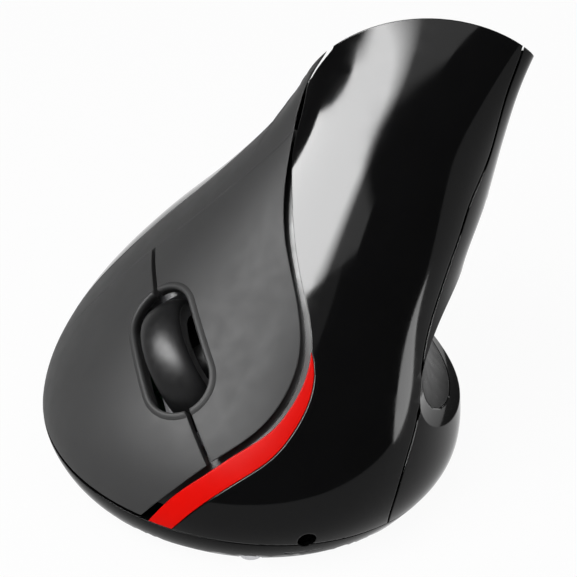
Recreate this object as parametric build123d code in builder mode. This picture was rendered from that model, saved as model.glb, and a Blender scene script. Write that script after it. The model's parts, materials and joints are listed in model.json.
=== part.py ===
from build123d import *
import os
from math import atan2, cos, degrees, hypot, pi, radians, sin

os.makedirs("parts", exist_ok=True)

# Overall size of the body above its glides, in millimetres
body_width = 86.0
body_length = 80.6
body_height = 81.0
stand_height = 0.8
overrun = 100.0

# Walls, gaps and running clearances
skin_thickness = 1.8
wheel_running_gap = 0.05
seam_gap = 0.2
fin_gap = 0.26
flexure_gap = 0.35
button_drop_gap = 0.9
seat_gap = 0.1
board_thickness = 1.2

# Levels of the outer form from the base to the top of the fin. Each row gives the height, the
# centre across and along, the reach to the finger side, thumb side, nose and heel as shares of
# the body's height, width and length, and the turn of the level in degrees.
level_shares = [
    (0.000, -0.085, -0.022, 0.355, 0.384, 0.422, 0.471, 14),
    (0.058, -0.085, -0.022, 0.395, 0.434, 0.463, 0.509, 14),
    (0.126, -0.085, -0.022, 0.413, 0.445, 0.479, 0.509, 10),
    (0.212, -0.073, -0.010, 0.395, 0.430, 0.467, 0.502, 6),
    (0.323, -0.021, 0.009, 0.366, 0.378, 0.422, 0.490, 0),
    (0.447, 0.060, 0.033, 0.331, 0.320, 0.347, 0.422, -6),
    (0.583, 0.148, 0.046, 0.273, 0.285, 0.273, 0.323, -12),
    (0.719, 0.223, 0.046, 0.227, 0.244, 0.199, 0.236, -18),
    (0.854, 0.277, 0.033, 0.207, 0.221, 0.130, 0.174, -22),
    (1.002, 0.316, 0.027, 0.207, 0.237, 0.043, 0.136, -22),
]
sole_share = -0.04
summit_share = 1.04
inner_summit_share = 0.96
outline_steps = 20
outline_quarters = 4
outline_parameters = [step / outline_steps for step in range(outline_steps + 1)]
slope_step_share = 0.02
form_steps = 13


def place(across_share, along_share, height_share):
    """A point of the body, given as shares of its width, length and height."""
    return Vector(
        across_share * body_width,
        along_share * body_length,
        stand_height + height_share * body_height,
    )


# Domed top of the fin, which falls away towards the heel behind its ridge
crown_turn = -22
crown_centre = place(0.287, 0.030, 0.976)
crown_radius = 32.5
crown_shift = 2.9
crown_side_reach = 19.5
crown_drop = 16.0
crown_fall = 35
crown_lap = 1.5
ridge_lean = 10
ridge_direction = Vector(cos(radians(crown_turn)), sin(radians(crown_turn)), 0)
heel_direction = Vector(-sin(radians(crown_turn)), cos(radians(crown_turn)), 0)
crown_plane = Plane(
    origin=crown_centre,
    x_dir=ridge_direction,
    z_dir=Vector(0, 0, sin(radians(crown_fall))) - heel_direction * cos(radians(crown_fall)),
)

ridge_plane = Plane(
    origin=crown_centre + heel_direction * crown_lap,
    x_dir=ridge_direction,
    z_dir=heel_direction * cos(radians(ridge_lean)) - Vector(0, 0, sin(radians(ridge_lean))),
)

# Seam between the base and the shells, a plane that climbs towards the finger side
seam_height = 5.4
seam_tilt = 5.1
seam_plane = Plane(
    origin=(0, 0, seam_height),
    z_dir=(sin(radians(seam_tilt)), 0, cos(radians(seam_tilt))),
)

# Direction from which the split lines of the front are drawn, and their courses on the surface
styling_azimuth = -16
styling_elevation = 30
styling_plane = Plane(
    origin=(0, 0, 0),
    x_dir=(cos(radians(styling_azimuth)), sin(radians(styling_azimuth)), 0),
    z_dir=(
        sin(radians(styling_azimuth)) * cos(radians(styling_elevation)),
        -cos(radians(styling_azimuth)) * cos(radians(styling_elevation)),
        sin(radians(styling_elevation)),
    ),
)
panel_edge_shares = [
    (0.123, 0.138, 1.027),
    (0.098, 0.075, 0.895),
    (0.084, 0.073, 0.877),
    (0.067, 0.069, 0.846),
    (0.033, 0.038, 0.759),
    (-0.008, -0.044, 0.674),
    (-0.032, -0.130, 0.601),
    (-0.041, -0.276, 0.468),
    (-0.056, -0.322, 0.417),
    (-0.094, -0.367, 0.364),
    (-0.158, -0.397, 0.307),
    (-0.233, -0.399, 0.259),
    (-0.305, -0.389, 0.203),
    (-0.373, -0.356, 0.124),
    (-0.451, -0.320, 0.015),
]
shell_edge_shares = [
    (0.128, 0.134, 1.027),
    (0.102, 0.072, 0.892),
    (0.089, 0.071, 0.876),
    (0.071, 0.066, 0.846),
    (0.057, 0.053, 0.803),
    (0.021, 0.002, 0.728),
    (0.000, -0.066, 0.670),
    (-0.016, -0.141, 0.604),
    (-0.022, -0.230, 0.522),
    (-0.031, -0.322, 0.425),
    (-0.056, -0.361, 0.380),
    (-0.090, -0.389, 0.343),
    (-0.133, -0.408, 0.307),
    (-0.200, -0.411, 0.268),
    (-0.272, -0.403, 0.218),
    (-0.328, -0.389, 0.170),
    (-0.365, -0.363, 0.110),
    (-0.420, -0.320, 0.000),
]
stripe_edge_shares = [
    (-0.0305, -0.3205, 0.426),
    (-0.034, -0.354, 0.391),
    (-0.053, -0.387, 0.352),
    (-0.092, -0.419, 0.306),
    (-0.137, -0.437, 0.265),
    (-0.200, -0.440, 0.225),
    (-0.272, -0.430, 0.174),
    (-0.327, -0.398, 0.103),
    (-0.372, -0.350, 0.000),
]
fin_seam_shares = [
    (0.466, -0.109, 1.030),
    (0.455, -0.110, 0.945),
    (0.428, -0.109, 0.857),
    (0.388, -0.123, 0.708),
    (0.342, -0.157, 0.632),
    (0.316, -0.179, 0.573),
    (0.256, -0.236, 0.466),
    (0.194, -0.329, 0.347),
    (0.175, -0.369, 0.268),
    (0.137, -0.418, 0.189),
    (0.105, -0.447, 0.113),
    (0.085, -0.458, 0.000),
]

# Upright seam between the finger panel and the thumb-side shell, round at the heel
heel_seam_turn = -10.5
heel_seam_place = place(-0.149, 0.245, 0)
heel_plane = Plane(
    origin=heel_seam_place,
    x_dir=(cos(radians(heel_seam_turn)), sin(radians(heel_seam_turn)), 0),
    z_dir=(-sin(radians(heel_seam_turn)), cos(radians(heel_seam_turn)), 0),
)

# Frame of the finger side: origin on the surface at the wheel, X across the two buttons towards
# the thumb, Y back along the fingers and Z out of the panel
press_direction_shares = (-0.59, -0.32, 0.74)
across_direction_shares = (0.807, -0.255, 0.533)
hand_plane = Plane(
    origin=place(-0.281, -0.166, 0.391),
    x_dir=across_direction_shares,
    z_dir=press_direction_shares,
)
slit_width = 0.9
flexure_reach = 24.5
flexure_depth = 4.8
flexure_lean = 26.6
flexure_plane = Plane(
    origin=hand_plane.from_local_coords((0, flexure_reach, -flexure_depth)),
    x_dir=hand_plane.x_dir,
    z_dir=hand_plane.y_dir * cos(radians(flexure_lean)) - hand_plane.z_dir * sin(radians(flexure_lean)),
)

# Scroll wheel
wheel_radius = 12.5
wheel_width = 7.8
wheel_proud = 3.5
wheel_depth = wheel_radius - wheel_proud
tyre_depth = 2.2
tyre_shoulder = 1.5
hub_web = 2.4
hub_rim_depth = 2.0
hub_side_gap = 0.1
hub_boss_radius = 3.2
axle_radius = 1.5
opening_length = 24.5
opening_width = 11.6
opening_depth = 9.0
opening_clear = 4.0

# Frame under the finger panel
bed_inset = 3.1
frame_thickness = 1.3
frame_rim_gap = 0.9
frame_lap = 3.2
frame_window_length = 37.6
frame_window_width = 13.0
peg_radius = 1.6
peg_places = [(2.0, 31.0), (13.0, 31.0)]

# Board behind the buttons, in the frame of the finger side
button_board_depth = 16.5
button_board_low = -16.5
button_board_high = 17.0
button_board_front = -12.0
button_board_back = 13.0
board_tongue_front = -20.0
board_tongue_low = -4.0
board_tongue_high = 11.5
board_slot_length = 23.0
board_slot_width = 15.0
frame_post_radius = 2.2
frame_post_inset = 3.4

# Switches under the two buttons
switch_length = 12.8
switch_width = 5.8
switch_height = 6.0
switch_across = 13.0
switch_along = -5.0
switch_plunger_radius = 0.9
switch_plunger_height = 0.6
button_post_radius = 1.5
button_rest_gap = 0.6
post_window_radius = 2.4

# Wheel carrier, its pin, its encoder and the switch that it presses
carrier_arm_inner = 4.5
carrier_arm_thickness = 1.4
carrier_top_depth = 6.0
carrier_bottom_depth = 12.0
carrier_front = -17.0
carrier_bar = 3.0
carrier_back = 18.0
carrier_well_back = 13.3
pin_along = 15.6
pin_depth = 10.0
pin_radius = 1.0
pin_ear_gap = 0.4
pin_ear_thickness = 1.5
pin_ear_length = 4.6
encoder_gap = 0.2
encoder_width = 3.6
encoder_length = 11.0
encoder_height = 7.0
axle_reach = 1.4
tact_side = 6.0
tact_height = 2.6
tact_button_radius = 1.6
click_gap = 0.8

# Thumb channel, a slice of a large ring, and the pad that lines it
channel_radius = 13.5
channel_ring_radius = 98.5
channel_place = place(-0.695, 0.128, 0.314)
pad_thickness = 1.8

# Side buttons, in a frame of their own on the thumb side above the channel
side_along_shares = (-0.16, 0.987, 0)
side_normal_shares = (0.925, 0.15, -0.35)
side_plane = Plane(
    origin=place(0.417, 0.100, 0.556),
    x_dir=side_along_shares,
    z_dir=side_normal_shares,
)
side_pair_length = 23.0
side_button_height = 6.4
side_button_corner = 2.4
side_button_gap = 0.35
side_button_proud = 0.5
side_flange_lap = 0.9
side_flange_gap = 0.35
side_stem_radius = 1.4
side_rest_gap = 0.7
side_board_depth = 9.4
side_board_length = 33.0
side_board_height = 7.4
side_post_radius = 2.0
side_post_pitch = 29.0
side_switch_height = 2.4
side_reach = 12.0

# Base, its floor and its screw posts
floor_top = stand_height + skin_thickness
lip_rise = 1.8
post_top = 7.4
post_gap = 0.1
post_radius = 3.0
boss_radius = 2.6
boss_top = 12.6
screw_radius = 1.1
screw_head_radius = 2.0
screw_head_height = 1.1
screw_head_recess = 1.4
screw_hole_gap = 0.1
screw_length = 9.5
front_screws = [(-15.0, -32.3), (3.1, -31.5)]
front_rib_reaches = [5.9, 6.4]
thumb_screws = [(21.8, 3.0)]
thumb_rib_reaches = [7.9]
heel_screws = [(-4.8, 33.4)]
heel_rib_reaches = [4.8]
boss_rib_height = 3.5
boss_rib_thickness = 1.6
frame_screws = [(-32.0, 2.0), (-27.5, 16.0)]

# Screws of the boards
board_screw_radius = 0.8
board_screw_head_radius = 1.5
board_screw_head = 0.9
board_screw_length = 5.0
board_screw_drop = 2.9

# Main board and what stands on it
board_bottom = 3.8
board_top = board_bottom + board_thickness
main_board_low = -14.3
main_board_high = 15.9
main_board_front = -24.2
main_board_back = 3.5
board_nose_width = 8.4
board_nose_front = -33.0
main_board_posts = [(-11.5, 0.8), (14.4, 0.8), (14.4, -22.2)]
main_post_radius = 2.2
sensor_x = 0.5
sensor_y = -9.0
sensor_length = 12.4
sensor_width = 9.2
sensor_height = 2.6
sensor_window = 5.0
lens_length = 15.0
lens_width = 10.0
lens_flange = 0.9
lens_dome_radius = 2.1
lens_dome_drop = 1.2
chip_side = 7.0
chip_height = 0.9
chip_x = -8.6
chip_y = -19.0

# Charging socket behind the round inlet at the nose
inlet_x = -7.3
inlet_z = 7.3
inlet_radius = 1.65
socket_width = 6.4
socket_length = 9.5
socket_bore_depth = 7.0
socket_front = -37.4
inlet_pin_radius = 0.5

# Power switch on the underside, its slider and its slot
power_x = 12.0
power_y = -12.0
power_travel = 2.4
knob_length = 4.0
knob_width = 2.6
knob_recess = 0.35
slider_flange_length = 9.6
slider_flange_width = 5.2
slider_flange_thickness = 0.8
slider_pin = 1.2
slider_pin_rise = 2.0
power_body_length = 8.0
power_body_width = 4.6
power_body_height = 3.4
power_gap = 0.3

# Battery between ribs on the floor
battery_x = -5.2
battery_y = 16.2
battery_turn = 6
battery_length = 35.0
battery_width = 18.0
battery_height = 7.0
battery_corner = 3.6
battery_rib_height = 4.0
battery_rib_thickness = 1.4
battery_rib_length = 12.0
battery_gap = 0.2

# Glides under the base
glide_length = 14.0
glide_width = 6.0
glide_recess = 0.4
glide_places = [(-26.0, -17.5, -50), (12.5, -20.5, 38), (-19.5, 25.5, 34), (9.5, 21.5, -52)]


def level_at(share):
    """The level of the form at any height, on smooth curves through the levels of the table."""
    index = 0
    while index < len(level_shares) - 2 and level_shares[index + 1][0] < share:
        index += 1
    before = level_shares[max(index - 1, 0)]
    low = level_shares[index]
    high = level_shares[index + 1]
    after = level_shares[min(index + 2, len(level_shares) - 1)]
    span = high[0] - low[0]
    part_way = min(max((share - low[0]) / span, 0), 1)
    beyond = share - low[0] - part_way * span
    values = []
    for column in range(1, len(low)):
        low_slope = (high[column] - before[column]) / (high[0] - before[0])
        high_slope = (after[column] - low[column]) / (after[0] - low[0])
        values.append(
            low[column] * (1 + 2 * part_way) * (1 - part_way) ** 2
            + high[column] * part_way**2 * (3 - 2 * part_way)
            + span * low_slope * part_way * (1 - part_way) ** 2
            + span * high_slope * part_way**2 * (part_way - 1)
            + beyond * (low_slope if beyond < 0 else high_slope)
        )
    return values


def level_sides(share):
    """Places of the finger side, thumb side, nose and heel of a level."""
    across, along, finger, thumb, nose, heel, _ = level_at(share)
    return (
        (across - finger) * body_width,
        (across + thumb) * body_width,
        (along - nose) * body_length,
        (along + heel) * body_length,
    )


def level_outline(share, inset):
    """Points round one level of the form, drawn in square to its surface."""
    across, along, finger, thumb, nose, heel, turn = level_at(share)
    below = level_sides(share - slope_step_share)
    above = level_sides(share + slope_step_share)
    rise = 2 * slope_step_share * body_height
    draws = [inset * hypot(1, (high - low) / rise) for low, high in zip(below, above)]
    finger_reach = finger * body_width - draws[0]
    thumb_reach = thumb * body_width - draws[1]
    nose_reach = nose * body_length - draws[2]
    heel_reach = heel * body_length - draws[3]
    points = []
    for step in range(outline_steps):
        angle = 2 * pi * step / outline_steps + pi / 2
        x = cos(angle) * (thumb_reach if cos(angle) > 0 else finger_reach)
        y = sin(angle) * (heel_reach if sin(angle) > 0 else nose_reach)
        turned_x = x * cos(radians(turn)) - y * sin(radians(turn))
        turned_y = x * sin(radians(turn)) + y * cos(radians(turn))
        points.append(Vector(across * body_width + turned_x, along * body_length + turned_y))
    return points


def form_solid(inset, sole_inset=None):
    """The outer form of the whole mouse, drawn in by an inset, under its domed top."""
    if sole_inset is None:
        sole_inset = inset
    with BuildPart() as form:
        for step in range(form_steps):
            share = sole_share + (summit_share - sole_share) * step / (form_steps - 1)
            if inset > 0 and share > inner_summit_share:
                break
            outline = Edge.make_spline(
                level_outline(share, inset),
                periodic=True,
                parameters=outline_parameters,
            )
            with BuildSketch(Plane.XY.offset(stand_height + share * body_height)):
                with BuildLine():
                    for quarter in range(outline_quarters):
                        start = quarter / outline_quarters
                        add(outline.trim(start, start + 1 / outline_quarters))
                make_face()
        loft()
        split(bisect_by=Plane.XY.offset(stand_height + sole_inset), keep=Keep.TOP)
        if inset > 0:
            inner_summit = stand_height + inner_summit_share * body_height
            split(bisect_by=Plane.XY.offset(inner_summit - inset), keep=Keep.BOTTOM)
        with BuildSketch(crown_plane):
            with BuildLine():
                Polyline(
                    (-crown_side_reach, -crown_drop),
                    (overrun, -crown_drop),
                    (overrun, overrun),
                    (-crown_side_reach, overrun),
                    close=True,
                )
            make_face()
            with Locations((crown_shift, -crown_radius)):
                Circle(crown_radius - inset, mode=Mode.SUBTRACT)
        extrude(amount=overrun, both=True, mode=Mode.SUBTRACT)
    return form.part


def styling_points(edge_shares):
    """A course on the surface, seen from the styling direction."""
    points = []
    for shares in edge_shares:
        local = styling_plane.to_local_coords(place(*shares))
        points.append((local.X, local.Y))
    return points


def finger_side_of(edge_shares, shift=0.0):
    """Everything on the finger side of a course that runs from the top to the base."""
    points = [(x + shift, y - shift) for x, y in styling_points(edge_shares)]
    with BuildPart() as zone:
        with BuildSketch(styling_plane):
            with BuildLine():
                Spline(*points)
                Polyline(
                    points[-1],
                    (points[-1][0], -overrun),
                    (-overrun, -overrun),
                    (-overrun, overrun),
                    (points[0][0], overrun),
                    points[0],
                )
            make_face()
        extrude(amount=overrun, both=True)
    return zone.part


def stripe_zone(shift=0.0):
    """Everything on the finger side of the stripe's outer edge, between its two ends."""
    points = [(x + shift, y - shift) for x, y in styling_points(stripe_edge_shares)]
    with BuildPart() as zone:
        with BuildSketch(styling_plane):
            with BuildLine():
                Spline(*points)
                Polyline(
                    points[-1],
                    (-overrun, points[-1][1]),
                    (-overrun, points[0][1]),
                    points[0],
                )
            make_face()
        extrude(amount=overrun, both=True)
    return zone.part


def front_zone(shift=0.0):
    """Everything before the seam of the fin, as seen in front, and before its ridge."""
    with BuildPart() as zone:
        add(finger_side_of(fin_seam_shares, shift))
        split(bisect_by=ridge_plane.offset(shift), keep=Keep.BOTTOM)
    return zone.part


def channel_solid(radius):
    """The thumb channel, or a fatter copy of it."""
    with BuildPart() as channel:
        with Locations(channel_place):
            Torus(channel_ring_radius, radius)
    return channel.part


def hand_at(across, along, height):
    """A plane square to the panel, at a place in the frame of the finger side."""
    return Plane(
        origin=hand_plane.from_local_coords((across, along, height)),
        x_dir=hand_plane.x_dir,
        z_dir=hand_plane.z_dir,
    )


def side_at(along, height, depth):
    """A plane square to the thumb side, at a place in the frame of the side buttons."""
    return Plane(
        origin=side_plane.from_local_coords((along, height, -depth)),
        x_dir=side_plane.x_dir,
        z_dir=side_plane.z_dir,
    )


def finish(builder, name):
    """Gives a piece its name and writes it."""
    builder.part.label = name
    export_step(builder.part, "parts/" + name + ".step")


# Forms that the casings share
outer_form = form_solid(0)
cavity_form = form_solid(skin_thickness)
inner_form = form_solid(skin_thickness + seat_gap)
bed_form = form_solid(bed_inset)
panel_side = finger_side_of(panel_edge_shares)
groove_side = finger_side_of(shell_edge_shares)
channel = channel_solid(channel_radius)

with BuildPart() as casing:
    add(outer_form)
    add(cavity_form, mode=Mode.SUBTRACT)
    split(bisect_by=seam_plane.offset(seam_gap), keep=Keep.TOP)

# Finger panel: one skin that the slit and the flexure line divide into two buttons and a rest
with BuildPart() as panel_blank:
    add(casing.part)
    add(panel_side, mode=Mode.INTERSECT)
    split(bisect_by=heel_plane.offset(-seam_gap), keep=Keep.BOTTOM)
    split(bisect_by=seam_plane.offset(button_drop_gap), keep=Keep.TOP)
    with BuildSketch(hand_at(0, 0, -opening_depth)):
        SlotOverall(opening_length, opening_width, rotation=90)
    extrude(amount=opening_depth + opening_clear, mode=Mode.SUBTRACT)

frame_bottom_form = form_solid(bed_inset + frame_thickness)

with BuildPart() as finger_plate:
    for across, along in peg_places:
        with BuildSketch(hand_at(across, along, -button_board_depth)):
            Circle(peg_radius)
    extrude(amount=button_board_depth + opening_clear)
    add(cavity_form, mode=Mode.INTERSECT)
    add(bed_form, mode=Mode.SUBTRACT)
    add(panel_blank.part)
    split(bisect_by=flexure_plane.offset(flexure_gap / 2), keep=Keep.TOP)
finish(finger_plate, "finger_plate")


slit_plane = Plane(origin=hand_plane.origin, x_dir=hand_plane.y_dir, z_dir=hand_plane.x_dir)
post_foot = button_board_depth - switch_height - switch_plunger_height - button_rest_gap


def button_part(side):
    """A button: one side of the slit, with the post that presses its switch."""
    with BuildPart() as button:
        with BuildSketch(hand_at(side * switch_across, switch_along, -post_foot)):
            Circle(button_post_radius)
        extrude(amount=post_foot + opening_clear)
        add(cavity_form, mode=Mode.INTERSECT)
        add(panel_blank.part)
        split(bisect_by=flexure_plane.offset(-flexure_gap / 2), keep=Keep.BOTTOM)
        split(
            bisect_by=slit_plane.offset(side * slit_width / 2),
            keep=Keep.TOP if side > 0 else Keep.BOTTOM,
        )
    return button


index_button = button_part(1)
finish(index_button, "index_button")
middle_button = button_part(-1)
finish(middle_button, "middle_button")


# Screw bosses that hang from a shell to the posts of the base
sole_centre_x = level_shares[0][1] * body_width
sole_centre_y = level_shares[0][2] * body_length


def screw_bosses(places, rib_reaches):
    """Bosses that stand on the posts of the base, each tied to a shell's wall by a rib."""
    with BuildPart() as bosses:
        with BuildSketch(Plane.XY.offset(post_top + post_gap)):
            with Locations(*places):
                Circle(boss_radius)
        extrude(amount=boss_top - post_top - post_gap)
        with BuildSketch(Plane.XY.offset(boss_top - boss_rib_height)):
            for (x, y), reach in zip(places, rib_reaches):
                with Locations((x, y)):
                    Rectangle(
                        reach,
                        boss_rib_thickness,
                        rotation=degrees(atan2(y - sole_centre_y, x - sole_centre_x)),
                        align=(Align.MIN, Align.CENTER),
                    )
        extrude(amount=boss_rib_height)
    return bosses.part


# Holes that the screws of the case run into
with BuildPart() as screw_holes:
    with BuildSketch(Plane.XY.offset(post_top)):
        with Locations(*front_screws, *thumb_screws, *heel_screws, *frame_screws):
            Circle(screw_radius + screw_hole_gap)
    extrude(amount=screw_length + stand_height + screw_head_recess - post_top)

# Charging inlet, bored along the body through the nose
inlet_plane = Plane(origin=(inlet_x, socket_front, inlet_z), x_dir=(1, 0, 0), z_dir=(0, -1, 0))
with BuildPart() as inlet_bore:
    with BuildSketch(inlet_plane):
        Circle(inlet_radius)
    extrude(amount=overrun)

# Front shell, the glossy ramp from the nose to the ridge
front_bosses = screw_bosses(front_screws, front_rib_reaches)

with BuildPart() as front_shell:
    add(casing.part)
    add(front_zone(), mode=Mode.INTERSECT)
    add(groove_side, mode=Mode.SUBTRACT)
    add(stripe_zone(seat_gap), mode=Mode.SUBTRACT)
    add(channel, mode=Mode.SUBTRACT)
    add(front_bosses)
    add(screw_holes.part, mode=Mode.SUBTRACT)
    add(inlet_bore.part, mode=Mode.SUBTRACT)
finish(front_shell, "front_shell")

# Stripe, a crescent let into the edge of the front shell
with BuildPart() as accent_stripe:
    add(casing.part)
    add(front_zone(), mode=Mode.INTERSECT)
    add(stripe_zone(), mode=Mode.INTERSECT)
    add(groove_side, mode=Mode.SUBTRACT)
finish(accent_stripe, "accent_stripe")

# Thumb-side shell, from the fin seam round the heel to the finger panel
with BuildPart() as panel_clear:
    add(groove_side)
    split(bisect_by=heel_plane.offset(seam_gap), keep=Keep.BOTTOM)

with BuildPart() as side_window:
    with BuildSketch(side_at(0, 0, side_reach)):
        RectangleRounded(side_pair_length, side_button_height, side_button_corner)
    extrude(amount=side_reach + side_reach)

with BuildPart() as side_posts:
    with BuildSketch(side_at(0, 0, side_board_depth)):
        with GridLocations(side_post_pitch, 0, 2, 1):
            Circle(side_post_radius)
    extrude(amount=side_board_depth)
    add(cavity_form, mode=Mode.INTERSECT)

side_bosses = screw_bosses(
    thumb_screws + heel_screws,
    thumb_rib_reaches + heel_rib_reaches,
)

with BuildPart() as thumb_side_shell:
    add(casing.part)
    add(front_zone(fin_gap), mode=Mode.SUBTRACT)
    add(panel_clear.part, mode=Mode.SUBTRACT)
    add(channel, mode=Mode.SUBTRACT)
    add(side_window.part, mode=Mode.SUBTRACT)
    add(side_posts.part)
    add(side_bosses)
    with BuildSketch(side_at(0, 0, side_board_depth)):
        with GridLocations(side_post_pitch, 0, 2, 1):
            Circle(board_screw_radius + screw_hole_gap)
    extrude(amount=board_screw_length, mode=Mode.SUBTRACT)
    add(screw_holes.part, mode=Mode.SUBTRACT)
finish(thumb_side_shell, "thumb_side_shell")

# Thumb pad, the lining of the channel
with BuildPart() as thumb_pad:
    add(channel_solid(channel_radius + pad_thickness))
    add(channel, mode=Mode.SUBTRACT)
    add(inner_form, mode=Mode.INTERSECT)
finish(thumb_pad, "thumb_pad")

# Frame under the finger panel: a raised rim under the shells and the stripe, a bed under the
# panel, ears for the wheel carrier's pin, and posts to the button board and to the base
frame_board_posts = [
    (button_board_low + frame_post_inset, button_board_back - frame_post_inset),
    (button_board_high - frame_post_inset, button_board_back - frame_post_inset),
    (board_tongue_high - frame_post_radius, board_tongue_front + frame_post_inset),
]
pin_ear_place = carrier_arm_inner + carrier_arm_thickness + pin_ear_gap + pin_ear_thickness / 2

with BuildPart() as panel_bed:
    add(finger_side_of(panel_edge_shares, frame_rim_gap))
    split(bisect_by=heel_plane.offset(seam_gap / 2), keep=Keep.BOTTOM)
    add(outer_form, mode=Mode.INTERSECT)
    add(bed_form, mode=Mode.SUBTRACT)

with BuildPart() as frame_bed:
    add(inner_form)
    add(frame_bottom_form, mode=Mode.SUBTRACT)
    add(finger_side_of(panel_edge_shares, frame_lap), mode=Mode.INTERSECT)
    split(bisect_by=heel_plane.offset(frame_lap), keep=Keep.BOTTOM)
    split(bisect_by=seam_plane.offset(lip_rise + button_drop_gap), keep=Keep.TOP)
    add(panel_bed.part, mode=Mode.SUBTRACT)
    with BuildSketch(hand_at(0, 0, -button_board_depth)):
        Rectangle(frame_window_width, frame_window_length)
    extrude(amount=button_board_depth + opening_clear, mode=Mode.SUBTRACT)
    with BuildSketch(hand_at(0, 0, -button_board_depth)):
        with Locations((-switch_across, switch_along), (switch_across, switch_along)):
            Circle(post_window_radius)
    extrude(amount=button_board_depth + opening_clear, mode=Mode.SUBTRACT)

with BuildPart() as frame_posts:
    with BuildSketch(hand_at(0, 0, -button_board_depth)):
        with Locations(*frame_board_posts):
            Circle(frame_post_radius)
    extrude(amount=button_board_depth + opening_clear)
    for side in (-1, 1):
        with BuildSketch(hand_at(side * pin_ear_place, pin_along, -carrier_bottom_depth)):
            Rectangle(pin_ear_thickness, pin_ear_length)
        extrude(amount=carrier_bottom_depth + opening_clear)
    with BuildSketch(Plane.XY.offset(post_top + post_gap)):
        with Locations(*frame_screws):
            Circle(boss_radius)
    extrude(amount=overrun)
    add(bed_form, mode=Mode.INTERSECT)

pin_plane = Plane(
    origin=hand_plane.from_local_coords((0, pin_along, -pin_depth)),
    x_dir=hand_plane.y_dir,
    z_dir=hand_plane.x_dir,
)

with BuildPart() as inner_frame:
    add(frame_bed.part)
    add(frame_posts.part)
    with BuildSketch(hand_at(0, 0, -button_board_depth)):
        with Locations(*frame_board_posts):
            Circle(board_screw_radius + screw_hole_gap)
    extrude(amount=board_screw_length, mode=Mode.SUBTRACT)
    with BuildSketch(pin_plane):
        Circle(pin_radius + wheel_running_gap)
    extrude(amount=pin_ear_place + pin_ear_thickness, both=True, mode=Mode.SUBTRACT)
    add(screw_holes.part, mode=Mode.SUBTRACT)
finish(inner_frame, "inner_frame")

# Scroll wheel, turned about an axle across the finger side
wheel_plane = Plane(
    origin=hand_plane.from_local_coords((0, 0, -wheel_depth)),
    x_dir=hand_plane.x_dir,
    z_dir=hand_plane.y_dir,
)
wheel_axis = Axis(wheel_plane.origin, wheel_plane.x_dir)
tyre_seat_radius = wheel_radius - tyre_depth
arm_outer = carrier_arm_inner + carrier_arm_thickness

with BuildPart() as wheel_tyre:
    with BuildSketch(wheel_plane) as tyre_profile:
        with Locations((0, tyre_seat_radius + tyre_depth / 2)):
            Rectangle(wheel_width, tyre_depth)
        fillet(tyre_profile.vertices().group_by(Axis.Y)[-1], tyre_shoulder)
    revolve(axis=wheel_axis)
finish(wheel_tyre, "wheel_tyre")

with BuildPart() as wheel_hub:
    with BuildSketch(wheel_plane):
        with BuildLine():
            Polyline(
                (-arm_outer, 0),
                (-arm_outer, axle_radius),
                (-carrier_arm_inner + hub_side_gap, axle_radius),
                (-carrier_arm_inner + hub_side_gap, hub_boss_radius),
                (-hub_web / 2, hub_boss_radius),
                (-hub_web / 2, tyre_seat_radius - hub_rim_depth),
                (-wheel_width / 2, tyre_seat_radius - hub_rim_depth),
                (-wheel_width / 2, tyre_seat_radius),
                (wheel_width / 2, tyre_seat_radius),
                (wheel_width / 2, tyre_seat_radius - hub_rim_depth),
                (hub_web / 2, tyre_seat_radius - hub_rim_depth),
                (hub_web / 2, hub_boss_radius),
                (carrier_arm_inner - hub_side_gap, hub_boss_radius),
                (carrier_arm_inner - hub_side_gap, axle_radius),
                (arm_outer + axle_reach, axle_radius),
                (arm_outer + axle_reach, 0),
                close=True,
            )
        make_face()
    revolve(axis=wheel_axis)
finish(wheel_hub, "wheel_hub")

# Wheel carrier, which hangs on its pin at the back and presses the click switch at the front
with BuildPart() as wheel_carrier:
    with BuildSketch(hand_at(0, 0, -carrier_bottom_depth)):
        with Locations((0, (carrier_front + carrier_back) / 2)):
            Rectangle(2 * arm_outer, carrier_back - carrier_front)
        with Locations((0, (carrier_front + carrier_bar + carrier_well_back) / 2)):
            Rectangle(
                2 * carrier_arm_inner,
                carrier_well_back - carrier_front - carrier_bar,
                mode=Mode.SUBTRACT,
            )
    extrude(amount=carrier_bottom_depth - carrier_top_depth)
    with BuildSketch(pin_plane):
        Circle(pin_radius + wheel_running_gap)
    extrude(amount=overrun, both=True, mode=Mode.SUBTRACT)
    with BuildSketch(Plane(origin=wheel_plane.origin, x_dir=hand_plane.y_dir, z_dir=hand_plane.x_dir)):
        Circle(axle_radius + wheel_running_gap)
    extrude(amount=overrun, both=True, mode=Mode.SUBTRACT)
finish(wheel_carrier, "wheel_carrier")

with BuildPart() as carrier_pin:
    with BuildSketch(pin_plane):
        Circle(pin_radius)
    extrude(amount=pin_ear_place + pin_ear_thickness / 2, both=True)
finish(carrier_pin, "carrier_pin")

encoder_low = arm_outer + encoder_gap
with BuildPart() as wheel_encoder:
    with BuildSketch(hand_at(encoder_low + encoder_width / 2, 0, -wheel_depth - encoder_height / 2)):
        Rectangle(encoder_width, encoder_length)
    extrude(amount=encoder_height)
    with BuildSketch(Plane(origin=wheel_plane.origin, x_dir=hand_plane.y_dir, z_dir=hand_plane.x_dir)):
        Circle(axle_radius + wheel_running_gap)
    extrude(amount=overrun, mode=Mode.SUBTRACT)
finish(wheel_encoder, "wheel_encoder")

# Click switch under the front bar of the carrier
click_along = carrier_front + carrier_bar / 2
tact_top_depth = carrier_bottom_depth + click_gap
with BuildPart() as wheel_click_switch:
    with BuildSketch(hand_at(0, click_along, -button_board_depth)):
        Rectangle(tact_side, tact_side)
    extrude(amount=tact_height)
    with BuildSketch(hand_at(0, click_along, -button_board_depth)):
        Circle(tact_button_radius)
    extrude(amount=button_board_depth - tact_top_depth)
finish(wheel_click_switch, "wheel_click_switch")

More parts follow.
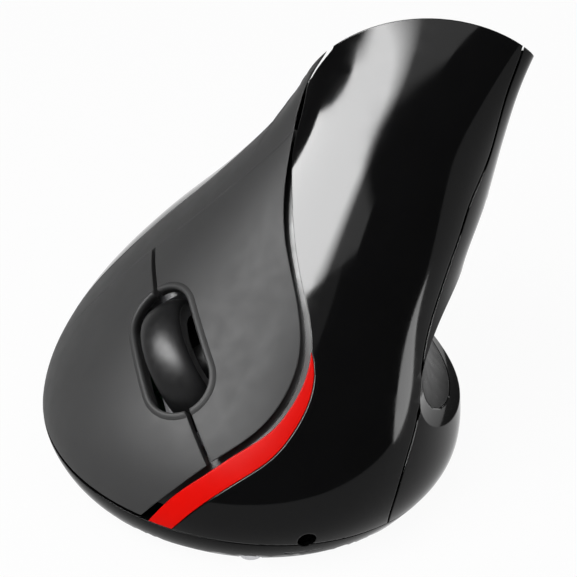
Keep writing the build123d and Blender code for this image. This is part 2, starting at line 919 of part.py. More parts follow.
# Board behind the buttons, with a slot for the wheel and a tongue for the click switch
with BuildPart() as button_board:
    with BuildSketch(hand_at(0, 0, -button_board_depth - board_thickness)):
        with Locations(
            (
                (button_board_low + button_board_high) / 2,
                (button_board_front + button_board_back) / 2,
            )
        ):
            Rectangle(button_board_high - button_board_low, button_board_back - button_board_front)
        with Locations(
            (
                (board_tongue_low + board_tongue_high) / 2,
                (board_tongue_front + button_board_front) / 2,
            )
        ):
            Rectangle(board_tongue_high - board_tongue_low, button_board_front - board_tongue_front)
        Rectangle(board_slot_width, board_slot_length, mode=Mode.SUBTRACT)
        with Locations(*frame_board_posts):
            Circle(board_screw_radius + screw_hole_gap, mode=Mode.SUBTRACT)
    extrude(amount=board_thickness)
finish(button_board, "button_board")


def click_switch(side):
    """A snap switch under one button."""
    with BuildPart() as switch:
        with BuildSketch(hand_at(side * switch_across, switch_along, -button_board_depth)):
            Rectangle(switch_width, switch_length)
        extrude(amount=switch_height)
        with BuildSketch(
            hand_at(side * switch_across, switch_along, switch_height - button_board_depth)
        ):
            Circle(switch_plunger_radius)
        extrude(amount=switch_plunger_height)
    return switch


index_switch = click_switch(1)
finish(index_switch, "index_switch")
middle_switch = click_switch(-1)
finish(middle_switch, "middle_switch")

# Side buttons above the channel, each a cap in the window with a flange and a stem behind it
side_cap_form = form_solid(-side_button_proud)
side_flange_form = form_solid(skin_thickness + side_flange_gap)
side_cap_length = (side_pair_length - 3 * side_button_gap) / 2
side_cap_height = side_button_height - 2 * side_button_gap
side_pitch = side_cap_length + side_button_gap
side_stem_end = side_board_depth - side_switch_height - side_rest_gap


def side_button(side):
    """One of the two side buttons; side is 1 towards the heel and -1 towards the nose."""
    with BuildPart() as flange:
        with BuildSketch(side_at(side * (side_pitch + side_flange_lap) / 2, 0, side_reach)):
            Rectangle(side_cap_length + side_flange_lap, side_cap_height + 2 * side_flange_lap)
        extrude(amount=2 * side_reach)
        add(side_flange_form, mode=Mode.INTERSECT)
    with BuildPart() as button:
        with BuildSketch(side_at(side * side_pitch / 2, 0, side_reach)):
            RectangleRounded(side_cap_length, side_cap_height, side_button_corner)
        extrude(amount=2 * side_reach)
        add(side_cap_form, mode=Mode.INTERSECT)
        add(flange.part)
        add(bed_form, mode=Mode.SUBTRACT)
        with BuildSketch(side_at(side * side_pitch / 2, 0, side_stem_end)):
            Circle(side_stem_radius)
        extrude(amount=side_stem_end)
    return button


forward_button = side_button(-1)
finish(forward_button, "forward_button")
back_button = side_button(1)
finish(back_button, "back_button")

with BuildPart() as side_button_board:
    with BuildSketch(side_at(0, 0, side_board_depth + board_thickness)):
        RectangleRounded(side_board_length, side_board_height, side_button_corner)
        with GridLocations(side_post_pitch, 0, 2, 1):
            Circle(board_screw_radius + screw_hole_gap, mode=Mode.SUBTRACT)
    extrude(amount=board_thickness)
finish(side_button_board, "side_button_board")

with BuildPart() as side_switches:
    with BuildSketch(side_at(0, 0, side_board_depth)):
        with GridLocations(side_pitch, 0, 2, 1):
            Rectangle(tact_side, tact_side)
    extrude(amount=side_switch_height - switch_plunger_height)
    with BuildSketch(side_at(0, 0, side_board_depth)):
        with GridLocations(side_pitch, 0, 2, 1):
            Circle(tact_button_radius)
    extrude(amount=side_switch_height)
finish(side_switches, "side_switches")

# Base: tray, lip, screw posts, ribs and the openings of the underside
case_screw_places = front_screws + thumb_screws + heel_screws + frame_screws
battery_turned = Plane(
    origin=(battery_x, battery_y, floor_top),
    x_dir=(cos(radians(battery_turn)), sin(radians(battery_turn)), 0),
    z_dir=(0, 0, 1),
)
slider_window_length = knob_length + power_travel + 2 * power_gap

# The lip stands inside the shells, except along the finger panel, and is rooted in the wall
lip_well = form_solid(bed_inset, 0)

with BuildPart() as lip_top:
    add(inner_form)
    add(lip_well, mode=Mode.SUBTRACT)
    split(bisect_by=seam_plane.offset(lip_rise), keep=Keep.BOTTOM)
    split(bisect_by=seam_plane.offset(-lip_rise), keep=Keep.TOP)
    add(groove_side, mode=Mode.SUBTRACT)
    with BuildSketch():
        with Locations(*front_screws, *thumb_screws, *heel_screws):
            Circle(post_radius + seam_gap)
    extrude(amount=overrun, mode=Mode.SUBTRACT)

with BuildPart() as lip_root:
    add(cavity_form)
    add(lip_well, mode=Mode.SUBTRACT)
    split(bisect_by=seam_plane, keep=Keep.BOTTOM)
    split(bisect_by=seam_plane.offset(-lip_rise), keep=Keep.TOP)

with BuildPart() as base_plate:
    add(outer_form)
    split(bisect_by=seam_plane, keep=Keep.BOTTOM)
    add(cavity_form, mode=Mode.SUBTRACT)
    add(lip_root.part)
    add(lip_top.part)
    with BuildSketch(Plane.XY.offset(stand_height)):
        with Locations(*case_screw_places):
            Circle(post_radius)
    extrude(amount=post_top - stand_height)
    with BuildSketch(Plane.XY.offset(stand_height)):
        with Locations(*main_board_posts):
            Circle(main_post_radius)
    extrude(amount=board_bottom - stand_height)
    with BuildSketch(battery_turned):
        with GridLocations(0, battery_width + 2 * battery_gap + battery_rib_thickness, 1, 2):
            Rectangle(battery_rib_length, battery_rib_thickness)
        with GridLocations(battery_length + 2 * battery_gap + battery_rib_thickness, 0, 2, 1):
            Rectangle(battery_rib_thickness, battery_rib_length)
    extrude(amount=battery_rib_height)
    with BuildSketch(Plane.XY.offset(board_bottom)):
        with Locations(*main_board_posts):
            Circle(board_screw_radius + screw_hole_gap)
    extrude(amount=board_thickness - board_screw_drop - screw_hole_gap, mode=Mode.SUBTRACT)
    with BuildSketch(Plane.XY.offset(board_bottom)):
        with Locations((inlet_x, socket_front + socket_length / 2)):
            Rectangle(socket_width + 2 * seat_gap, socket_length + 2 * seat_gap)
    extrude(amount=post_top, mode=Mode.SUBTRACT)
    add(outer_form, mode=Mode.INTERSECT)
    with BuildSketch():
        with Locations(*case_screw_places):
            Circle(screw_radius + screw_hole_gap)
    extrude(amount=post_top + lip_rise, mode=Mode.SUBTRACT)
    with BuildSketch(Plane.XY.offset(stand_height)):
        with Locations(*case_screw_places):
            Circle(screw_head_radius + screw_hole_gap)
    extrude(amount=screw_head_recess, mode=Mode.SUBTRACT)
    with BuildSketch(Plane.XY.offset(stand_height)):
        with Locations((sensor_x, sensor_y)):
            Rectangle(sensor_window, sensor_window)
        with Locations((power_x, power_y)):
            SlotOverall(slider_window_length, knob_width + 2 * power_gap, rotation=90)
    extrude(amount=skin_thickness, mode=Mode.SUBTRACT)
    for x, y, turn in glide_places:
        with BuildSketch(Plane.XY.offset(stand_height)):
            with Locations((x, y)):
                SlotOverall(glide_length + 2 * seat_gap, glide_width + 2 * seat_gap, rotation=turn)
        extrude(amount=glide_recess, mode=Mode.SUBTRACT)
    add(inlet_bore.part, mode=Mode.SUBTRACT)
finish(base_plate, "base_plate")

# Glides, screws of the case and screws of the boards
with BuildPart() as glide_feet:
    for x, y, turn in glide_places:
        with BuildSketch():
            with Locations((x, y)):
                SlotOverall(glide_length, glide_width, rotation=turn)
        extrude(amount=stand_height + glide_recess)
finish(glide_feet, "glide_feet")

screw_seat = stand_height + screw_head_recess
with BuildPart() as case_screws:
    with BuildSketch(Plane.XY.offset(screw_seat - screw_head_height)):
        with Locations(*case_screw_places):
            Circle(screw_head_radius)
    extrude(amount=screw_head_height)
    with BuildSketch(Plane.XY.offset(screw_seat)):
        with Locations(*case_screw_places):
            Circle(screw_radius)
    extrude(amount=screw_length - screw_head_height)
finish(case_screws, "case_screws")

# Screws that hold the boards on the posts of the frame, of the base and of the thumb-side shell
with BuildPart() as board_screws:
    with BuildSketch(hand_at(0, 0, -button_board_depth - board_thickness - board_screw_head)):
        with Locations(*frame_board_posts):
            Circle(board_screw_head_radius)
    extrude(amount=board_screw_head)
    with BuildSketch(hand_at(0, 0, -button_board_depth - board_thickness)):
        with Locations(*frame_board_posts):
            Circle(board_screw_radius)
    extrude(amount=board_screw_length)
    with BuildSketch(Plane.XY.offset(board_top)):
        with Locations(*main_board_posts):
            Circle(board_screw_head_radius)
    extrude(amount=board_screw_head)
    with BuildSketch(Plane.XY.offset(board_top)):
        with Locations(*main_board_posts):
            Circle(board_screw_radius)
    extrude(amount=-board_screw_drop)
    with BuildSketch(side_at(0, 0, side_board_depth + board_thickness + board_screw_head)):
        with GridLocations(side_post_pitch, 0, 2, 1):
            Circle(board_screw_head_radius)
    extrude(amount=board_screw_head)
    with BuildSketch(side_at(0, 0, side_board_depth + board_thickness)):
        with GridLocations(side_post_pitch, 0, 2, 1):
            Circle(board_screw_radius)
    extrude(amount=board_screw_length)
finish(board_screws, "board_screws")

# Main board over the floor, with a nose that carries the charging socket
with BuildPart() as main_board:
    with BuildSketch(Plane.XY.offset(board_bottom)):
        with Locations(
            ((main_board_low + main_board_high) / 2, (main_board_front + main_board_back) / 2)
        ):
            Rectangle(main_board_high - main_board_low, main_board_back - main_board_front)
        with Locations((inlet_x, (board_nose_front + main_board_front) / 2)):
            Rectangle(board_nose_width, main_board_front - board_nose_front)
        with Locations((sensor_x, sensor_y)):
            Rectangle(sensor_window, sensor_window, mode=Mode.SUBTRACT)
        with Locations((power_x, power_y)):
            Rectangle(
                slider_pin + 2 * power_gap,
                slider_pin + power_travel + 2 * power_gap,
                mode=Mode.SUBTRACT,
            )
        with Locations(*main_board_posts):
            Circle(board_screw_radius + screw_hole_gap, mode=Mode.SUBTRACT)
    extrude(amount=board_thickness)
finish(main_board, "main_board")

with BuildPart() as optical_sensor:
    with BuildSketch(Plane.XY.offset(board_top)):
        with Locations((sensor_x, sensor_y)):
            Rectangle(sensor_width, sensor_length)
    extrude(amount=sensor_height)
finish(optical_sensor, "optical_sensor")

with BuildPart() as sensor_lens:
    with BuildSketch(Plane.XY.offset(floor_top)):
        with Locations((sensor_x, sensor_y)):
            Rectangle(lens_width, lens_length)
    extrude(amount=lens_flange)
    with BuildSketch(Plane.XY.offset(floor_top)):
        with Locations((sensor_x, sensor_y)):
            Circle(lens_dome_radius)
    extrude(amount=-lens_dome_drop)
finish(sensor_lens, "sensor_lens")

with BuildPart() as controller_chip:
    with BuildSketch(Plane.XY.offset(board_top)):
        with Locations((chip_x, chip_y)):
            Rectangle(chip_side, chip_side)
    extrude(amount=chip_height)
finish(controller_chip, "controller_chip")

socket_height = 2 * (inlet_z - board_top)
with BuildPart() as charging_socket:
    with BuildSketch(Plane.XY.offset(board_top)):
        with Locations((inlet_x, socket_front + socket_length / 2)):
            Rectangle(socket_width, socket_length)
    extrude(amount=socket_height)
    with BuildSketch(inlet_plane):
        Circle(inlet_radius)
        Circle(inlet_pin_radius, mode=Mode.SUBTRACT)
    extrude(amount=-socket_bore_depth, mode=Mode.SUBTRACT)
finish(charging_socket, "charging_socket")

# Power switch above the main board and its slider in the slot of the base
with BuildPart() as power_switch:
    with BuildSketch(Plane.XY.offset(board_top)):
        with Locations((power_x, power_y)):
            Rectangle(power_body_width, power_body_length)
    extrude(amount=power_body_height)
    with BuildSketch(Plane.XY.offset(board_top)):
        with Locations((power_x, power_y)):
            Rectangle(slider_pin + 2 * power_gap, slider_pin + power_travel + 2 * power_gap)
    extrude(amount=slider_pin_rise + power_gap, mode=Mode.SUBTRACT)
finish(power_switch, "power_switch")

slider_y = power_y - power_travel / 2
with BuildPart() as power_slider:
    with BuildSketch(Plane.XY.offset(stand_height + knob_recess)):
        with Locations((power_x, slider_y)):
            SlotOverall(knob_length, knob_width, rotation=90)
    extrude(amount=skin_thickness - knob_recess + seat_gap)
    with BuildSketch(Plane.XY.offset(floor_top + seat_gap)):
        with Locations((power_x, slider_y)):
            Rectangle(slider_flange_width, slider_flange_length)
    extrude(amount=slider_flange_thickness)
    with BuildSketch(Plane.XY.offset(floor_top + seat_gap)):
        with Locations((power_x, slider_y)):
            Rectangle(slider_pin, slider_pin)
    extrude(amount=board_top + slider_pin_rise - floor_top - seat_gap)
finish(power_slider, "power_slider")

# Battery
with BuildPart() as battery_cell:
    with BuildSketch(battery_turned):
        RectangleRounded(battery_length, battery_width, battery_corner)
    extrude(amount=battery_height)
finish(battery_cell, "battery_cell")
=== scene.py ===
"""Looks of the vertical mouse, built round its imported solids.

Lengths are in millimetres, apart from those of the lamps, which are in metres.
"""

import json
from math import cos, pi, radians, sin

import bmesh
import bpy
import numpy as np
from mathutils import Matrix, Vector

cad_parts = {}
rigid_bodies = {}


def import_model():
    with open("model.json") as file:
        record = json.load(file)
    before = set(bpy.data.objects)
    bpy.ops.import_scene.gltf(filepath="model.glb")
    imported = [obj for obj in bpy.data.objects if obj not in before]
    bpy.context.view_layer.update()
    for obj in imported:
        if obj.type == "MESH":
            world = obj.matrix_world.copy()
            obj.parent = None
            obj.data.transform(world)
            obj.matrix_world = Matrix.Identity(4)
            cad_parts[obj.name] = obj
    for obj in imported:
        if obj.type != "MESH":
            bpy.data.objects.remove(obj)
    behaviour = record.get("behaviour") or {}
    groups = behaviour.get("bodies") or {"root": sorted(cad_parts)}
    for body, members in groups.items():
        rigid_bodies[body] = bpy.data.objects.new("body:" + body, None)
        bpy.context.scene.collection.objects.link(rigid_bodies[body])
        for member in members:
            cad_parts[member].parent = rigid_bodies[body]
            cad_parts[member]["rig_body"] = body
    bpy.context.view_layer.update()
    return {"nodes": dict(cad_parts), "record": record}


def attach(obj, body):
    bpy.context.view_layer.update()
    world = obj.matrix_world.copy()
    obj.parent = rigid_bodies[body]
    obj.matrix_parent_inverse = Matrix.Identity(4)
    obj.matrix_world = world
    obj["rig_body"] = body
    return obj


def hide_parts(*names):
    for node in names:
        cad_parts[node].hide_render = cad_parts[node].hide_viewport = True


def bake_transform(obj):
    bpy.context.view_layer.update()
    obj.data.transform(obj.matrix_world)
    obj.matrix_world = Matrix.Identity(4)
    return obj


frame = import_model()
nodes = frame["nodes"]
MM = 0.001

# The outer form of the body, as the solids have it: levels from the base to the top of the fin
BODY_WIDTH, BODY_LENGTH, BODY_HEIGHT = 86.0, 80.6, 81.0
STAND_HEIGHT = 0.8
LEVELS = np.array(
    [
        (0.000, -0.085, -0.022, 0.355, 0.384, 0.422, 0.471, 14),
        (0.058, -0.085, -0.022, 0.395, 0.434, 0.463, 0.509, 14),
        (0.126, -0.085, -0.022, 0.413, 0.445, 0.479, 0.509, 10),
        (0.212, -0.073, -0.010, 0.395, 0.430, 0.467, 0.502, 6),
        (0.323, -0.021, 0.009, 0.366, 0.378, 0.422, 0.490, 0),
        (0.447, 0.060, 0.033, 0.331, 0.320, 0.347, 0.422, -6),
        (0.583, 0.148, 0.046, 0.273, 0.285, 0.273, 0.323, -12),
        (0.719, 0.223, 0.046, 0.227, 0.244, 0.199, 0.236, -18),
        (0.854, 0.277, 0.033, 0.207, 0.221, 0.130, 0.174, -22),
        (1.002, 0.316, 0.027, 0.207, 0.237, 0.043, 0.136, -22),
    ]
)
CROWN_TURN, CROWN_FALL, CROWN_RADIUS, CROWN_SHIFT = -22, 35, 32.5, 2.9
CROWN_SHARES = (0.287, 0.030, 0.976)
CHANNEL_SHARES = (-0.695, 0.128, 0.314)
CHANNEL_RING, CHANNEL_RADIUS = 98.5, 13.5
KEY_PROUD = 0.5
GRADIENT_STEP = 0.05

# Frame of the finger side: X across the two buttons, Y back along the fingers, Z out of the panel
HAND_SHARES = (-0.281, -0.166, 0.391)
HAND_OUT = Vector((-0.59, -0.32, 0.74)).normalized()
HAND_ACROSS = Vector((0.807, -0.255, 0.533))
HAND_ACROSS = (HAND_ACROSS - HAND_ACROSS.dot(HAND_OUT) * HAND_OUT).normalized()
HAND_BACK = HAND_OUT.cross(HAND_ACROSS)
FLEXURE_REACH, FLEXURE_DEPTH, FLEXURE_LEAN, FLEXURE_GAP = 24.5, 4.8, 26.6, 0.35
OPENING_LENGTH, OPENING_WIDTH, SLIT_WIDTH = 24.5, 11.6, 0.9
WHEEL_DEPTH = 9.0


def place(across, along, height):
    """A point of the body in millimetres, from shares of its width, length and height."""
    return np.array((across * BODY_WIDTH, along * BODY_LENGTH, STAND_HEIGHT + height * BODY_HEIGHT))


def hand(across, along, height):
    """A point in millimetres, from the frame of the finger side."""
    point = Vector(place(*HAND_SHARES))
    return point + across * HAND_ACROSS + along * HAND_BACK + height * HAND_OUT


def level_values(shares):
    """Rows of the level table at any heights, on smooth curves through its levels."""
    index = np.clip(np.searchsorted(LEVELS[:, 0], shares, side="left") - 1, 0, len(LEVELS) - 2)
    before = LEVELS[np.maximum(index - 1, 0)]
    low, high = LEVELS[index], LEVELS[index + 1]
    after = LEVELS[np.minimum(index + 2, len(LEVELS) - 1)]
    span = high[:, :1] - low[:, :1]
    part = np.clip((shares[:, None] - low[:, :1]) / span, 0, 1)
    beyond = shares[:, None] - low[:, :1] - part * span
    low_slope = (high - before) / (high[:, :1] - before[:, :1])
    high_slope = (after - low) / (after[:, :1] - low[:, :1])
    return (
        low * (1 + 2 * part) * (1 - part) ** 2
        + high * part**2 * (3 - 2 * part)
        + span * low_slope * part * (1 - part) ** 2
        + span * high_slope * part**2 * (part - 1)
        + beyond * np.where(beyond < 0, low_slope, high_slope)
    )[:, 1:]


# One even curve through each column of the levels, for what the gloss mirrors
EVEN_DEGREE = 6
EVEN_CURVES = [np.polyfit(LEVELS[:, 0], LEVELS[:, k], EVEN_DEGREE) for k in range(1, 8)]


def even_values(shares):
    """Rows of the level table at any heights, on the even curves."""
    return np.stack([np.polyval(curve, shares) for curve in EVEN_CURVES], axis=1)


def form_value(points, values=level_values):
    """Below zero inside the outer form and above zero outside it."""
    across, along, finger, thumb, nose, heel, turn = values(
        (points[:, 2] - STAND_HEIGHT) / BODY_HEIGHT
    ).T
    x, y = points[:, 0] - across * BODY_WIDTH, points[:, 1] - along * BODY_LENGTH
    angle = np.radians(-turn)
    x, y = x * np.cos(angle) - y * np.sin(angle), x * np.sin(angle) + y * np.cos(angle)
    return np.hypot(
        x / (np.where(x > 0, thumb, finger) * BODY_WIDTH),
        y / (np.where(y > 0, heel, nose) * BODY_LENGTH),
    ) - 1


def outer(points, values=level_values):
    """Distance from the outer form and the way out of it."""
    slopes = [
        (form_value(points + step, values) - form_value(points - step, values))
        / (2 * GRADIENT_STEP)
        for step in np.eye(3) * GRADIENT_STEP
    ]
    gradient = np.stack(slopes, axis=1)
    steepness = np.linalg.norm(gradient, axis=1)
    return form_value(points) / steepness, gradient / steepness[:, None]


def even_normal(points):
    """The way out of the outer form without the small waves between its levels."""
    return outer(points, even_values)[1]


def key_face(points):
    """As outer, for the side keys, which stand a little proud."""
    distance, normal = outer(points)
    return distance - KEY_PROUD, normal


def crown(points):
    """Distance from the domed top of the fin and the way out of it."""
    turn, fall = radians(CROWN_TURN), radians(CROWN_FALL)
    ridge = np.array((cos(turn), sin(turn), 0))
    axis = np.array((sin(turn) * cos(fall), -cos(turn) * cos(fall), sin(fall)))
    middle = place(*CROWN_SHARES) + ridge * CROWN_SHIFT - np.cross(axis, ridge) * CROWN_RADIUS
    offset = points - middle
    offset = offset - np.outer(offset @ axis, axis)
    reach = np.linalg.norm(offset, axis=1)
    return reach - CROWN_RADIUS, offset / reach[:, None]


def channel(points):
    """Distance from the thumb channel's wall and the way out of the material."""
    offset = points - place(*CHANNEL_SHARES)
    flat = offset * (1, 1, 0)
    ring = flat / np.linalg.norm(flat, axis=1)[:, None] * CHANNEL_RING
    spoke = ring - offset
    reach = np.linalg.norm(spoke, axis=1)
    return CHANNEL_RADIUS - reach, spoke / reach[:, None]


# How close a vertex has to lie to be moved onto a surface, and to take its normal
SNAP_REACH = 0.3
SNAP_PASSES = 2
ON_SURFACE = 0.03
FACING = 0.75
# Refining of the skins, with the welding distance in metres
SKIN_ROUNDS = 7
SKIN_STEP = 3.0
WELD_DISTANCE = 2e-6


def mesh_points(bm):
    """Places of all the vertices, in millimetres."""
    bm.verts.ensure_lookup_table()
    bm.verts.index_update()
    return np.array([v.co for v in bm.verts], float).reshape(-1, 3) / MM


def snap(bm, surfaces):
    """Moves the vertices that lie close to a surface onto it."""
    points = mesh_points(bm)
    for surface in surfaces * SNAP_PASSES:
        distance, normal = surface(points)
        close = np.abs(distance) < SNAP_REACH
        points[close] -= (distance[:, None] * normal)[close]
    for vert, point in zip(bm.verts, points):
        vert.co = Vector(point) * MM


def add_object(name, bm, body, slot):
    """A new piece that rides on a body, if one is given."""
    mesh = bpy.data.meshes.new(name)
    bm.to_mesh(mesh)
    bm.free()
    piece = bpy.data.objects.new(name, mesh)
    bpy.context.scene.collection.objects.link(piece)
    mesh.materials.append(materials[slot])
    if body:
        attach(piece, body)
    return piece


def smooth_normals(mesh, surfaces):
    """Gives faces on a surface the surface's normals, on the outer form those of its even curves,
    and leaves the others flat.
    """
    count = len(mesh.loops)
    vertex = np.zeros(count, int)
    mesh.loops.foreach_get("vertex_index", vertex)
    points = np.zeros(len(mesh.vertices) * 3)
    mesh.vertices.foreach_get("co", points)
    points = points.reshape(-1, 3) / MM
    face_normals = np.zeros(len(mesh.polygons) * 3)
    mesh.polygons.foreach_get("normal", face_normals)
    face_normals = face_normals.reshape(-1, 3)
    sides = np.zeros(len(mesh.polygons), int)
    mesh.polygons.foreach_get("loop_total", sides)
    face = np.repeat(np.arange(len(mesh.polygons)), sides)
    normals = face_normals[face].copy()
    for surface in surfaces:
        distance, normal = surface(points)
        if surface is outer:
            normal = even_normal(points)
        fits = (np.abs(distance[vertex]) < ON_SURFACE) & (
            (normal[vertex] * face_normals[face]).sum(1) > FACING
        )
        whole = np.ones(len(mesh.polygons), bool)
        np.logical_and.at(whole, face, fits)
        chosen = whole[face]
        normals[chosen] = normal[vertex][chosen]
    mesh.shade_smooth()
    mesh.normals_split_custom_set(normals.tolist())


def skin(node, surfaces, longest):
    """A finer copy of a node whose outside follows its true surface, in the node's place."""
    bm = bmesh.new()
    bm.from_mesh(nodes[node].data)
    bmesh.ops.remove_doubles(bm, verts=bm.verts, dist=WELD_DISTANCE)
    snap(bm, surfaces)
    for _ in range(SKIN_ROUNDS):
        points = mesh_points(bm)
        near = [np.abs(surface(points)[0]) < SNAP_REACH for surface in surfaces]
        long_edges = [
            edge
            for edge in bm.edges
            if edge.calc_length() > longest * MM
            and any(on[edge.verts[0].index] and on[edge.verts[1].index] for on in near)
        ]
        if not long_edges:
            break
        bmesh.ops.subdivide_edges(bm, edges=long_edges, cuts=1)
        bmesh.ops.triangulate(bm, faces=[f for f in bm.faces if len(f.verts) > 3])
        snap(bm, surfaces)
    slot = slots[node]
    piece = add_object(node + "_skin", bm, nodes[node]["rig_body"], slot)
    smooth_normals(piece.data, surfaces)
    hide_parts(node)
    return piece


# Materials: the part of a noise that counts, the mix node's colour sockets and the edge samples
NOISE_LOW, NOISE_HIGH = 0.3, 0.7
FIRST_COLOR, SECOND_COLOR, MIXED_COLOR = 6, 7, 2
EDGE_SAMPLES = 6
WEAR_SHARE = 3


def node_of(tree, kind, **values):
    """A shader node with its settings and socket values."""
    made = tree.nodes.new(kind)
    for key, value in values.items():
        if hasattr(made, key):
            setattr(made, key, value)
        else:
            made.inputs[key.replace("_", " ")].default_value = value
    return made


def noise(tree, where, size, detail=3.0, stretch=None):
    """Noise whose features have a size in millimetres."""
    if stretch:
        mapping = node_of(tree, "ShaderNodeMapping")
        mapping.inputs["Scale"].default_value = stretch
        tree.links.new(where, mapping.inputs["Vector"])
        where = mapping.outputs["Vector"]
    made = node_of(tree, "ShaderNodeTexNoise", Scale=1 / (size * MM), Detail=detail)
    tree.links.new(where, made.inputs["Vector"])
    return made.outputs["Fac"]


def spread(tree, source, low, high, to_low, to_high):
    """A value mapped from one range to another."""
    made = node_of(tree, "ShaderNodeMapRange")
    made.inputs["From Min"].default_value = low
    made.inputs["From Max"].default_value = high
    made.inputs["To Min"].default_value = to_low
    made.inputs["To Max"].default_value = to_high
    tree.links.new(source, made.inputs["Value"])
    return made.outputs["Result"]


def material(
    slot,
    color,
    roughness,
    roughness_spread=0.03,
    mottle=0.10,
    mottle_size=9.0,
    grain=0.25,
    grain_height=0.004,
    specular=0.5,
    metallic=0.0,
    round_edges=0.0,
    stretch=None,
    transmission=0.0,
    second_color=None,
    pattern=None,
):
    """A moulded or finished material: mottled colour, uneven gloss, fine grain and soft edges."""
    made = bpy.data.materials.new(slot)
    made.use_nodes = True
    tree = made.node_tree
    tree.nodes.clear()
    output = node_of(tree, "ShaderNodeOutputMaterial")
    shader = node_of(tree, "ShaderNodeBsdfPrincipled")
    tree.links.new(shader.outputs["BSDF"], output.inputs["Surface"])
    where = node_of(tree, "ShaderNodeTexCoord").outputs["Object"]
    shader.inputs["Metallic"].default_value = metallic
    shader.inputs["Specular IOR Level"].default_value = specular
    shader.inputs["Transmission Weight"].default_value = transmission
    cloud = noise(tree, where, mottle_size)
    ramp = node_of(tree, "ShaderNodeValToRGB")
    dark, light = ramp.color_ramp.elements
    dark.position, light.position = NOISE_LOW, NOISE_HIGH
    dark.color = [c * (1 - mottle) for c in color] + [1]
    light.color = [min(c * (1 + mottle), 1) for c in color] + [1]
    tree.links.new(cloud, ramp.inputs["Fac"])
    tint = ramp.outputs["Color"]
    if pattern:
        mask = pattern(tree, where)
        mix = node_of(tree, "ShaderNodeMix", data_type="RGBA")
        tree.links.new(mask, mix.inputs[0])
        tree.links.new(tint, mix.inputs[FIRST_COLOR])
        mix.inputs[SECOND_COLOR].default_value = list(second_color) + [1]
        tint = mix.outputs[MIXED_COLOR]
    tree.links.new(tint, shader.inputs["Base Color"])
    worn = noise(tree, where, mottle_size / WEAR_SHARE, detail=5.0, stretch=stretch)
    smoothest, roughest = roughness - roughness_spread, roughness + roughness_spread
    gloss = spread(tree, worn, NOISE_LOW, NOISE_HIGH, smoothest, roughest)
    tree.links.new(gloss, shader.inputs["Roughness"])
    bump = node_of(tree, "ShaderNodeBump", Strength=1.0, Distance=grain_height * MM)
    tree.links.new(noise(tree, where, grain, detail=2.0, stretch=stretch), bump.inputs["Height"])
    if round_edges:
        bevel = node_of(tree, "ShaderNodeBevel", samples=EDGE_SAMPLES, Radius=round_edges * MM)
        tree.links.new(bevel.outputs["Normal"], bump.inputs["Normal"])
    tree.links.new(bump.outputs["Normal"], shader.inputs["Normal"])
    return made


TRACE_PITCH, TRACE_SHARE = 5.0, 0.035
FLECK_SIZE, FLECK_START, FLECK_END = 0.5, 0.62, 0.7
BLACK, WHITE = (0, 0, 0, 1), (1, 1, 1, 1)


def traces(tree, where):
    """Copper runs under the solder mask of a board."""
    brick = node_of(tree, "ShaderNodeTexBrick", Scale=1 / (TRACE_PITCH * MM))
    brick.inputs["Mortar Size"].default_value = TRACE_SHARE
    brick.inputs["Color1"].default_value = BLACK
    brick.inputs["Color2"].default_value = BLACK
    brick.inputs["Mortar"].default_value = WHITE
    tree.links.new(where, brick.inputs["Vector"])
    return brick.outputs["Color"]


def speckle(tree, where):
    """Small flecks, as in filled plastics."""
    flecks = noise(tree, where, FLECK_SIZE, detail=1.0)
    return spread(tree, flecks, FLECK_START, FLECK_END, 0, 1)


materials = {
    "gloss_black": material(
        "gloss_black", (0.003, 0.003, 0.0032), 0.075, 0.02, grain=0.9, grain_height=0.0005,
        specular=0.14, round_edges=0.25,
    ),
    "gloss_dark": material(
        "gloss_dark", (0.004, 0.004, 0.0042), 0.14, 0.03, grain=0.9, grain_height=0.0006,
        specular=0.05, round_edges=0.3,
    ),
    "matte_panel": material(
        "matte_panel", (0.050, 0.050, 0.0505), 0.5, 0.04, mottle=0.04, grain=0.16,
        grain_height=0.006, specular=0.07, round_edges=0.3,
    ),
    "red_stripe": material(
        "red_stripe", (0.78, 0.004, 0.0015), 0.36, 0.04, mottle=0.03, grain=0.5,
        grain_height=0.001, specular=0.03, round_edges=0.3,
    ),
    "soft_pad": material(
        "soft_pad", (0.005, 0.005, 0.0053), 0.3, 0.05, grain=0.2, grain_height=0.004,
        specular=0.04, round_edges=0.3,
    ),
    "inner_black": material("inner_black", (0.010, 0.010, 0.0105), 0.5, 0.06, grain=0.25),
    "inner_grey": material(
        "inner_grey", (0.18, 0.18, 0.19), 0.45, 0.06, second_color=(0.1, 0.1, 0.105),
        pattern=speckle,
    ),
    "wheel_rubber": material(
        "wheel_rubber", (0.010, 0.010, 0.0105), 0.4, 0.05, mottle_size=4.0, grain=0.12,
        grain_height=0.005, specular=0.12,
    ),
    "steel": material(
        "steel", (0.55, 0.55, 0.57), 0.3, 0.08, metallic=1.0, mottle=0.05, grain=0.1,
        grain_height=0.003, stretch=(1, 1, 12), round_edges=0.1,
    ),
    "board_green": material(
        "board_green", (0.012, 0.10, 0.035), 0.3, 0.05, second_color=(0.05, 0.22, 0.07),
        pattern=traces, grain=0.3, grain_height=0.002,
    ),
    "side_key": material(
        "side_key", (0.008, 0.008, 0.0085), 0.2, 0.04, grain=0.5, grain_height=0.001,
        specular=0.45, round_edges=0.25,
    ),
    "glide_grey": material(
        "glide_grey", (0.02, 0.02, 0.021), 0.4, 0.06, second_color=(0.04, 0.04, 0.042),
        pattern=speckle, specular=0.1,
    ),
    "clear_lens": material(
        "clear_lens", (0.85, 0.86, 0.9), 0.06, 0.02, mottle=0.02, transmission=0.95,
        grain_height=0.0005, round_edges=0.1,
    ),
    "battery_wrap": material(
        "battery_wrap", (0.32, 0.34, 0.37), 0.34, 0.08, metallic=0.6, mottle=0.08, grain=2.5,
        grain_height=0.05,
    ),
}
slots = {row["node"]: row["material_slot"] for row in frame["record"]["subparts"]}
for name, node in nodes.items():
    node.data.materials.clear()
    node.data.materials.append(materials[slots[name]])

